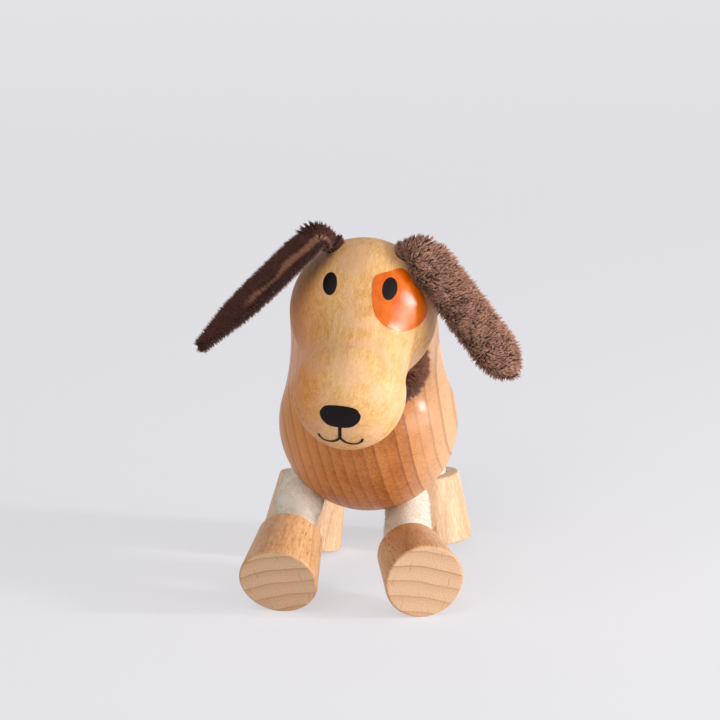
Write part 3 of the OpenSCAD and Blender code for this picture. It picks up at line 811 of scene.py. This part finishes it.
# A tuft's strands: how many, their radius, roots and lengths, and how their tips draw together and stray
TUFT_STRANDS = 9
STRAND_R = 0.1
ROOT_SPREAD = 0.6
ROOT_DEPTH = 0.12
STRAND_REACH = (0.7, 1.1)
TIP_DRAW = 0.5
TIP_STRAY = 0.06
# An ear or the tail: its mesh, the shares with pile, the stray of its rows, and its short pile and bend at the
# root, with the plug that is glued in
LEAF_RINGS = 90
LEAF_SIDES = 40
LEAF_ROUND = 181
LEAF_PILE = (0.01, 0.995)
LEAF_ENDS = (0.005, 0.999)
ROW_STRAY = 0.12
ROOT_PILE = 0.75
ROOT_RUN = 0.15
ROOT_BLEND = 3.0
PLUG_SIDES = 32
PLUG_LIP = 0.1
# The collar of tufts that stands up round that root and hides the plug
COLLAR_TUFTS = 44
COLLAR_ROWS = (0.0, 0.012)
COLLAR_SINK = 0.3
COLLAR_RISE = 0.9
COLLAR_L = 0.75
# The right ear: smoother pile, and a tan band with its place in turns, its width, waver, start and end
FLAT_SINK = 1.0
FLAT_RUFFLE = 0.5
BAND_AT = 0.12
BAND_W = 0.055
BAND_EDGE = 0.06
BAND_WAVER = 0.03
BAND_WAVE_L = 5.0
BAND_START, BAND_START_RUN = 0.08, 0.1
BAND_END, BAND_END_RUN = 0.85, 0.3
# The ruff
RUFF_PILE_L = 1.9
RUFF_SINK = 2.3
RUFF_ROUNDS = 96
RUFF_SIDES = 40
RUFF_TUFTS = 8000
RUFF_STRANDS = 7
RUFF_RUFFLE = 1.6
RUFF_MARGIN = 0.05
RUFF_HALVINGS = 30
PLUSH_SEEDS = {"left_ear": 11, "right_ear": 23, "tail": 37, "ruff": 53, "band": 71}


def finish_soft(made, slot, *nodes, fill=0.6):
    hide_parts(*nodes)


def grow_tufts(piece, roots, out, nap, seed, tint=0.0, length=PILE_L, strands=TUFT_STRANDS, ruffle=1.0):
    """A tuft of strands on each root, leaning with the nap and its neighbours and drawn together at its tip."""
    rng = np.random.default_rng(seed)
    count = len(roots)
    across, other = square_to(out)
    clump = np.stack([ripple(roots, CLUMP_L, seed + k) for k in (1, 2, 3)], -1)
    lean = unit(out + nap + ruffle * (clump * CLUMP_LEAN + rng.normal(0, TUFT_LEAN, (count, 3))))
    tall = length * (1 + ruffle * rng.uniform(*TUFT_TALL, count))
    for _ in range(strands):
        spot = rng.uniform(-ROOT_SPREAD, ROOT_SPREAD, (count, 2)) * TUFT_PITCH
        offset = across * spot[:, :1] + other * spot[:, 1:]
        start = roots + offset - out * ROOT_DEPTH
        reach = tall * rng.uniform(*STRAND_REACH, count)
        end = roots + offset * TIP_DRAW + lean * reach[:, None] + rng.normal(0, TIP_STRAY, (count, 3))
        add_strands(piece, start, end, STRAND_R, PILE, tint)


def tuft_rows(form):
    """Shares and turns of tufts in rows across a swept form, spaced evenly round it."""
    shares = []
    turns = []
    fine = np.linspace(0, 1, LEAF_ROUND)
    for row, share in enumerate(np.arange(*LEAF_PILE, TUFT_PITCH / form.length)):
        run = run_along(form.at(np.full(len(fine), share), fine))
        count = max(3, round(run[-1] / TUFT_PITCH))
        spots = (np.arange(count) + 0.5 * (row % 2)) / count
        turns.append(np.interp(spots * run[-1], run, fine))
        shares.append(np.full(count, share))
    return np.concatenate(shares), np.concatenate(turns)


def plush_leaf(piece, form, out, seed, sink=PILE_SINK, ruffle=1.0, band=None):
    """Backing and pile of an ear or the tail. band says how tan the pile is at a share and turn."""
    form.skin(piece, LEAF_RINGS, LEAF_SIDES, -sink)
    shares, turns = tuft_rows(form)
    rng = np.random.default_rng(seed)
    shares = np.clip(shares + rng.normal(0, ROW_STRAY, len(shares)) * TUFT_PITCH / form.length, *LEAF_ENDS)
    along = form.read(form.along, shares)
    tint = 0.0 if band is None else band(shares, turns)
    length = PILE_L * mix(ROOT_PILE, 1.0, smooth(shares / ROOT_RUN))
    grow_tufts(piece, form.at(shares, turns, -sink), form.outward(shares, turns, -sink), along * NAP,
               seed + 1, tint, length, ruffle=ruffle)
    turns = np.tile(np.arange(COLLAR_TUFTS) / COLLAR_TUFTS, len(COLLAR_ROWS))
    shares = np.repeat(COLLAR_ROWS, COLLAR_TUFTS)
    away = form.outward(shares, turns, -COLLAR_SINK)
    grow_tufts(piece, form.at(shares, turns), away, out * COLLAR_RISE, seed + 9, length=COLLAR_L, ruffle=ruffle)


def add_plug(piece, form, out, depth):
    """The end of a leaf that is glued into its hole, from its root inwards."""
    ring = form.at(np.zeros(PLUG_SIDES), np.arange(PLUG_SIDES) / PLUG_SIDES)
    points = np.concatenate([ring + out * PLUG_LIP, ring, ring - out * depth])
    piece.add(points, grid_faces(3, PLUG_SIDES, flip=True))
    piece.add_cap(points[-PLUG_SIDES:], flip=True)


def finish_leaf(piece, form, out, materials, bodies, node):
    """Builds an ear or the tail, and hides the solid that it stands for."""
    root = form.line[0]
    made = piece.build_bent(node + "_plush", materials, bodies, root, root + out * ROOT_BLEND)
    finish_soft(made, "plush", node)


def plush_ear(ear, materials):
    form, out = ear_form(ear)
    piece = Piece()
    add_plug(piece, form, out, EAR_SLOT_L - HOLE_GAP)

    def tan_band(share, turns):
        """The backing shows along the middle of the face that is turned to the front."""
        off = 0.5 - np.abs(np.abs(turns - BAND_AT) % 1 - 0.5)
        waver = BAND_WAVER * ripple(form.at(share, turns), BAND_WAVE_L, PLUSH_SEEDS["band"])
        starts = smooth((share - BAND_START) / BAND_START_RUN)
        ends = smooth((BAND_END - share) / BAND_END_RUN)
        return smooth((BAND_W + waver - off) / BAND_EDGE) * starts * ends

    if ear == "right_ear":
        plush_leaf(piece, form, out, PLUSH_SEEDS[ear], FLAT_SINK, FLAT_RUFFLE, tan_band)
    else:
        plush_leaf(piece, form, out, PLUSH_SEEDS[ear])
    finish_leaf(piece, form, out, materials, ("head_block", ear + "_flap"), ear)


def plush_tail(materials):
    form, out = tail_form()
    piece = Piece()
    add_plug(piece, form, out, TAIL_HOLE_L - HOLE_GAP)
    plush_leaf(piece, form, out, PLUSH_SEEDS["tail"])
    finish_leaf(piece, form, out, materials, ("torso", "tail_brush"), "tail")


def neck_ruff(materials):
    """A ball of plush round the neck, hollowed by the chest and the cranium."""
    middle = (NECK_LOW + NECK_HIGH) / 2
    across = unit(np.cross(NECK_AXIS, X_AXIS))
    other = np.cross(NECK_AXIS, across)
    bore = NECK_CORE_D / 2 + HOLE_GAP
    heart = (bore + RUFF_D / 2) / 2

    def outside(p):
        """Above 0 where a point is out of the ruff's backing."""
        away = p - middle
        off_axis = away - (away @ NECK_AXIS)[..., None] * NECK_AXIS
        return np.max([
            np.linalg.norm(away, axis=-1) - RUFF_D / 2 + RUFF_SINK,
            CHEST_D / 2 + SOFT_GAP - np.linalg.norm(p - CHEST, axis=-1),
            CRANIUM_D / 2 + SOFT_GAP - np.linalg.norm(p - SKULL, axis=-1),
            bore - np.linalg.norm(off_axis, axis=-1)], axis=0)

    # The backing: rings round the heart of the ball, each point moved out as far as the backing goes
    spin = np.repeat(np.arange(RUFF_ROUNDS) / RUFF_ROUNDS * 2 * np.pi, RUFF_SIDES)
    swing = np.tile(np.arange(RUFF_SIDES) / RUFF_SIDES * 2 * np.pi, RUFF_ROUNDS)
    spoke = across * np.cos(spin)[:, None] + other * np.sin(spin)[:, None]
    core = middle + spoke * heart
    way = spoke * np.cos(swing)[:, None] + NECK_AXIS * np.sin(swing)[:, None]
    near = np.zeros(len(spin))
    far = np.full(len(spin), RUFF_D)
    for _ in range(RUFF_HALVINGS):
        half = (near + far) / 2
        inside = outside(core + way * half[:, None]) < 0
        near = np.where(inside, half, near)
        far = np.where(inside, far, half)
    piece = Piece()
    piece.add(core + way * near[:, None], grid_faces(RUFF_ROUNDS + 1, RUFF_SIDES) % len(spin))

    # The pile, where the ball isn't hollowed
    seed = PLUSH_SEEDS["ruff"]
    scatter = unit(np.random.default_rng(seed).normal(size=(RUFF_TUFTS, 3)))
    roots = middle + scatter * (RUFF_D / 2 - RUFF_SINK)
    clear = outside(roots - scatter * RUFF_MARGIN) < 0
    grow_tufts(piece, roots[clear], scatter[clear], 0.0, seed + 1,
               length=RUFF_PILE_L, strands=RUFF_STRANDS, ruffle=RUFF_RUFFLE)
    made = piece.build_bent("neck_ruff", materials, NECK_BODIES, NECK_LOW, NECK_HIGH)
    finish_soft(made, "plush", "neck_plush")


# Legs and the neck's cord

# The knit: stitches round and along a sleeve, the yarn in one, the rise and slant of its loop, and soft folds
WALES = 34
SIDES_PER_WALE = 6
COURSE_L = 0.6
RINGS_PER_COURSE = 5
STITCH_H = 0.1
YARN_AT = 0.24
YARN_W = 0.15
LOOP_LEVEL = 0.6
LOOP_RISE = 0.4
LOOP_SLANT = 1.6
FOLD_H = 0.12
FOLD_L = 6.0
# The brushed fibres on it. A pair is a mean and a spread, or the least and the most
FUZZ_STRANDS = 6400
FUZZ_L = 0.9
FUZZ_R = 0.032
FUZZ_DEPTH = 0.05
FUZZ_SLANT = (0.6, 0.5)
FUZZ_HEADING = (0.4, 1)
FUZZ_LIFT = (0.05, 0.5)
FUZZ_REACH = (0.5, 1.2)
LEG_SEED = 100
LEG_SEED_STEP = 10
# The cord: its strands, the length of one turn of them and the height of their ridges
CORD_STRANDS = 3
CORD_LAY = 7
CORD_RIDGE = 0.14
CORD_SIDES = 48
WIRE_SIDES = 20
NECK_RINGS = 60
NECK_SIDES = 60
NECK_WIRE_RINGS = 24
KNIT_FILL = 0.8
CORD_FILL = 0.9


def knit_relief(form, seed):
    """How far each place of a sleeve stands out: slanting stitches on soft folds."""

    def relief(share, turns):
        wale = (turns * WALES) % 1 - 0.5
        course = share * form.length / COURSE_L
        yarn = np.exp(-((np.abs(wale) - YARN_AT) / YARN_W) ** 2)
        loop = LOOP_LEVEL + LOOP_RISE * np.cos(2 * np.pi * (course - LOOP_SLANT * np.abs(wale)))
        folds = ripple(form.at(share, turns), FOLD_L, seed)
        return STITCH_H * yarn * loop + FOLD_H * folds - STITCH_H

    return relief


def cord_relief(form):
    """How far each place of a cord stands out: strands laid round each other."""

    def relief(share, turns):
        lay = share * form.length / CORD_LAY
        return CORD_RIDGE * np.cos(2 * np.pi * (CORD_STRANDS * turns - lay)) - CORD_RIDGE

    return relief


def add_fuzz(piece, form, relief, first, last, seed):
    """Brushed fibres that lie over half a sleeve and lift at their ends."""
    rng = np.random.default_rng(seed)
    count = FUZZ_STRANDS // 2
    share = rng.uniform(first, last, count)
    turns = rng.uniform(0, 1, count)
    roots = form.at(share, turns, relief(share, turns))
    out = form.outward(share, turns)
    along = form.read(form.along, share)
    around = np.cross(out, along)
    slant = rng.normal(*FUZZ_SLANT, (count, 1))
    flat = unit(along * np.sign(rng.normal(*FUZZ_HEADING, (count, 1))) + around * slant)
    lift = rng.uniform(*FUZZ_LIFT, (count, 1))
    length = FUZZ_L * rng.uniform(*FUZZ_REACH, (count, 1))
    tips = roots + (flat + out * lift) * length
    add_strands(piece, roots - out * FUZZ_DEPTH, tips, FUZZ_R)


def finish_wire(made, node):
    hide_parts(node)


def leg_pieces(leg, knit, cord, wire):
    """The sleeve, the cord in it and the wire in that, each in two halves that meet half way down the leg."""
    form, drawn, leaves, meets = leg_form(leg)
    body = leg + "_leg"
    foot = leg + "_foot_block"
    split = (leaves + meets) / 2
    seed = LEG_SEED + LEG_SEED_STEP * LEGS.index(leg)
    sleeve = SLEEVE_D / 2
    halves = (
        ("upper", 0.0, split, ("torso", body), (leaves, split)),
        ("lower", split, 1.0, (body, foot), (split, meets)))
    stitches = knit_relief(drawn, seed)
    for half, first, last, bodies, bend in halves:
        rings = round((last - first) * form.length / COURSE_L * RINGS_PER_COURSE)
        ends = [form.read(form.line, np.array(share)) for share in bend]

        piece = Piece()
        drawn.tube(piece, rings, WALES * SIDES_PER_WALE, 0.0, -SLEEVE_T, stitches, first, last)
        add_fuzz(piece, drawn, stitches, max(first, leaves), min(last, meets), seed + len(half))
        made = piece.build_bent(f"{leg}_sleeve_{half}", [knit], bodies, *ends)
        finish_soft(made, "knit", leg + "_sleeve", fill=KNIT_FILL)

        piece = Piece()
        form.tube(piece, rings // 2, CORD_SIDES, CORE_D / 2 - sleeve, BORE_D / 2 - sleeve, cord_relief(form),
                  first, last)
        made = piece.build_bent(f"{leg}_cord_{half}", [cord], bodies, *ends)
        finish_soft(made, "cotton", leg + "_core", fill=CORD_FILL)

        piece = Piece()
        form.skin(piece, rings // 4, WIRE_SIDES, WIRE_D / 2 - sleeve, first, last)
        finish_wire(piece.build_bent(f"{leg}_wire_{half}", [wire], bodies, *ends), leg + "_wire")


def neck_cord(cord, wire):
    """The cord and wire that carry the head, from the chest's hole to the cranium's."""
    into = NECK_AXIS * (NECK_HOLE_L - HOLE_GAP)
    line = even_line(np.stack([NECK_LOW - into, NECK_HIGH + into]), NECK_RINGS)
    form = round_form(line, headings(line), np.full(len(line), NECK_CORE_D / 2))

    piece = Piece()
    form.tube(piece, NECK_RINGS, NECK_SIDES, 0.0, BORE_D / 2 - NECK_CORE_D / 2, cord_relief(form))
    made = piece.build_bent("neck_cord", [cord], NECK_BODIES, NECK_LOW, NECK_HIGH)
    finish_soft(made, "cotton", "neck_core", fill=CORD_FILL)

    piece = Piece()
    form.skin(piece, NECK_WIRE_RINGS, WIRE_SIDES, WIRE_D / 2 - NECK_CORE_D / 2)
    finish_wire(piece.build_bent("neck_bend_wire", [wire], NECK_BODIES, NECK_LOW, NECK_HIGH), "neck_wire")


# Stage

VIEW_BACK = np.array([
    sin(VIEW_AZIMUTH) * cos(VIEW_ELEVATION), -cos(VIEW_AZIMUTH) * cos(VIEW_ELEVATION), sin(VIEW_ELEVATION)])
VIEW_RIGHT = np.array([cos(VIEW_AZIMUTH), sin(VIEW_AZIMUTH), 0])
VIEW_UP = np.cross(VIEW_BACK, VIEW_RIGHT)


def add_aimed(name, data, place, back):
    """An object at a place in metres that looks against the direction back."""
    made = bpy.data.objects.new(name, data)
    made.location = place
    made.rotation_mode = "QUATERNION"
    made.rotation_quaternion = Vector(-back).to_track_quat("-Z", "Y")
    bpy.context.scene.collection.objects.link(made)
    return made


def add_camera():
    data = bpy.data.cameras.new("camera")
    data.sensor_width = SENSOR_W
    data.lens = SENSOR_W * PIXELS_PER_MM * VIEW_DISTANCE / IMAGE_SIDE
    aside = (CHEST_PIXEL[0] - IMAGE_SIDE / 2) / PIXELS_PER_MM
    below = (CHEST_PIXEL[1] - IMAGE_SIDE / 2) / PIXELS_PER_MM
    place = (CHEST + VIEW_BACK * VIEW_DISTANCE - VIEW_RIGHT * aside + VIEW_UP * below) * MM
    bpy.context.scene.camera = add_aimed("camera", data, place, VIEW_BACK)


# The floor's radius in metres, and the millimetres over which its tone and its share of plain white change
FLOOR_R = 4.0
FLOOR_SIDES = 96
FLOOR_FADE = (-100, 900)
FLOOR_TONE = (0.79, 0.785, 0.832, 1)
BACKDROP_TONE = (0.75, 0.755, 0.80, 1)
WHITE_TONE = (0.97, 0.965, 1.0, 1)
WHITE_NEAR = 0.55
WHITE_FAR = 0.74

# Lamps: the way to each in the view's right, up and back, its distance and size in metres, and its power
LAMPS = {
    "key": ((0.93, 0.27, 0.25), 0.6, (0.06, 0.07), 1.65),
    "window": ((0.914, 0.018, 0.404), 0.5, (0.42, 0.14), 1.55),
    "fill": ((-0.305, 0.595, 0.73), 0.9, (0.48, 0.80), 2.7)}
# Light from all round, brighter behind the object and in front of it, with where that starts and is full
SURROUND_LEVEL = 0.10
SURROUND_BACK = 0.6
SURROUND_FRONT = 0.7
BACK_FADE = (0.4, 0.9)
FRONT_FADE = (-0.9, -0.3)
SURROUND_TINT = (0.985, 0.985, 1.0, 1)


def add_floor():
    angle = np.arange(FLOOR_SIDES) / FLOOR_SIDES * 2 * np.pi
    rim = np.stack([np.cos(angle) * FLOOR_R, np.sin(angle) * FLOOR_R, np.zeros(FLOOR_SIDES)], -1)
    mesh = bpy.data.meshes.new("floor")
    mesh.from_pydata(rim.tolist(), [], [list(range(FLOOR_SIDES))])
    look = Look("floor_paper")
    depth = look.along((0, 0, 0), Y_AXIS)
    tone = look.blend(look.fade(depth, *FLOOR_FADE), FLOOR_TONE, BACKDROP_TONE)
    look.set(Base_Color=tone, Roughness=1.0, Specular_IOR_Level=0.0)
    white = look.sockets(look.node("ShaderNodeEmission"), Color=WHITE_TONE)
    share = look.math("MULTIPLY", look.seen(), look.fade(depth, *FLOOR_FADE, WHITE_NEAR, WHITE_FAR))
    paper = look.either(share, look.shader.outputs["BSDF"], white.outputs[0])
    look.sockets(look.output, Surface=paper)
    mesh.materials.append(look.material)
    made = bpy.data.objects.new("floor", mesh)
    bpy.context.scene.collection.objects.link(made)


def add_lamp(name, way, distance, size, watts):
    data = bpy.data.lights.new(name, "AREA")
    data.shape = "RECTANGLE"
    data.size, data.size_y = size
    data.energy = watts
    way = unit(way[0] * VIEW_RIGHT + way[1] * VIEW_UP + way[2] * VIEW_BACK)
    add_aimed(name, data, CHEST * MM + way * distance, way)


def add_surround():
    """Light from all round, and a plain backdrop for the camera and for reflections."""
    world = bpy.data.worlds.new("surround")
    nodes = Nodes(world)
    way = nodes.node("ShaderNodeTexCoord").outputs["Generated"]
    behind = nodes.vector("DOT_PRODUCT", way, tuple(Y_AXIS))
    back = nodes.fade(behind, *BACK_FADE, SURROUND_LEVEL, SURROUND_BACK)
    level = nodes.math("MAXIMUM", back, nodes.fade(behind, *FRONT_FADE, SURROUND_FRONT, 0.0))
    light = nodes.sockets(nodes.node("ShaderNodeBackground"), Color=SURROUND_TINT, Strength=level)
    backdrop = nodes.sockets(nodes.node("ShaderNodeBackground"), Color=BACKDROP_TONE)
    either = nodes.either(nodes.seen(), light.outputs[0], backdrop.outputs[0])
    nodes.sockets(nodes.node("ShaderNodeOutputWorld"), Surface=either)
    bpy.context.scene.world = world


def main():
    bpy.context.scene.view_settings.view_transform = "Standard"
    add_camera()
    add_floor()
    for name, lamp in LAMPS.items():
        add_lamp(name, *lamp)
    add_surround()
    dress_wood()
    backing = plush_look("plush_backing", colour(58, 34, 29), colour(58, 34, 29), colour(150, 108, 84))
    pile = plush_look("plush_pile", colour(62, 36, 30), colour(214, 160, 134), colour(196, 146, 116))
    # Painted shade: the same pile made darker for the right ear, which sits in shade
    dark = plush_look("plush_pile_painted_shade", colour(30, 13, 11), colour(116, 66, 55), colour(184, 130, 100))
    plush_ear("left_ear", [backing, pile])
    plush_ear("right_ear", [backing, dark])
    plush_tail([backing, pile])
    ruff = plush_look("plush_ruff", colour(30, 15, 12), colour(146, 92, 68), colour(146, 92, 68))
    neck_ruff([backing, ruff])
    knit = knit_look()
    cord = cord_look()
    wire = wire_look()
    for leg in LEGS:
        leg_pieces(leg, knit, cord, wire)
    neck_cord(cord, wire)


main()
